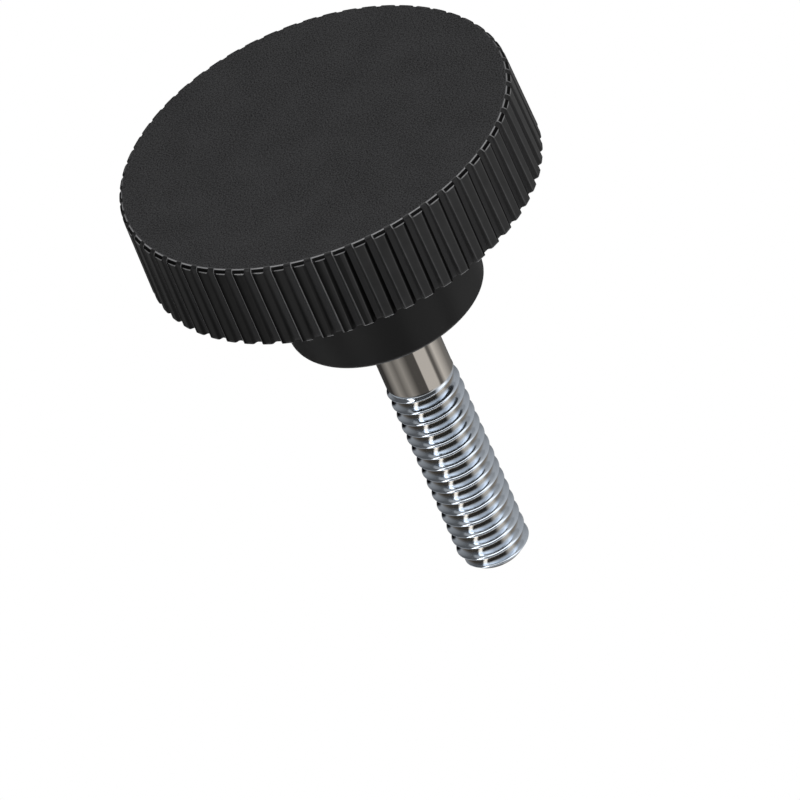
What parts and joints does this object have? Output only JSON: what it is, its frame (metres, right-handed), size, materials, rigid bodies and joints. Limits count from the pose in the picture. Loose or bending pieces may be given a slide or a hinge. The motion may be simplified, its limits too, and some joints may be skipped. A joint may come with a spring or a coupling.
{
  "type": "thumb screw",
  "caption": "Thumb screw with a round knurled plastic knob moulded over the head of a steel stud, with a plain shank and a right-hand thread.",
  "frame": {"origin": "centre of the knob's flat face, on which the screw stands", "axes": "+Z along the stud, from the knob's flat face towards the thread's tip; X and Y are equal, with a land of the knurl on +X"},
  "size_m": [0.035, 0.035, 0.0463],
  "materials": {
    "moulded_plastic": "black moulded plastic, matte, with a fine grain on the flat face",
    "plated_steel": "bright plated steel, polished on the shank and slightly blue on the rolled thread"
  },
  "bodies": {
    "root": {"knob": "moulded_plastic", "threaded_stud": "plated_steel"}
  },
  "joints": []
}
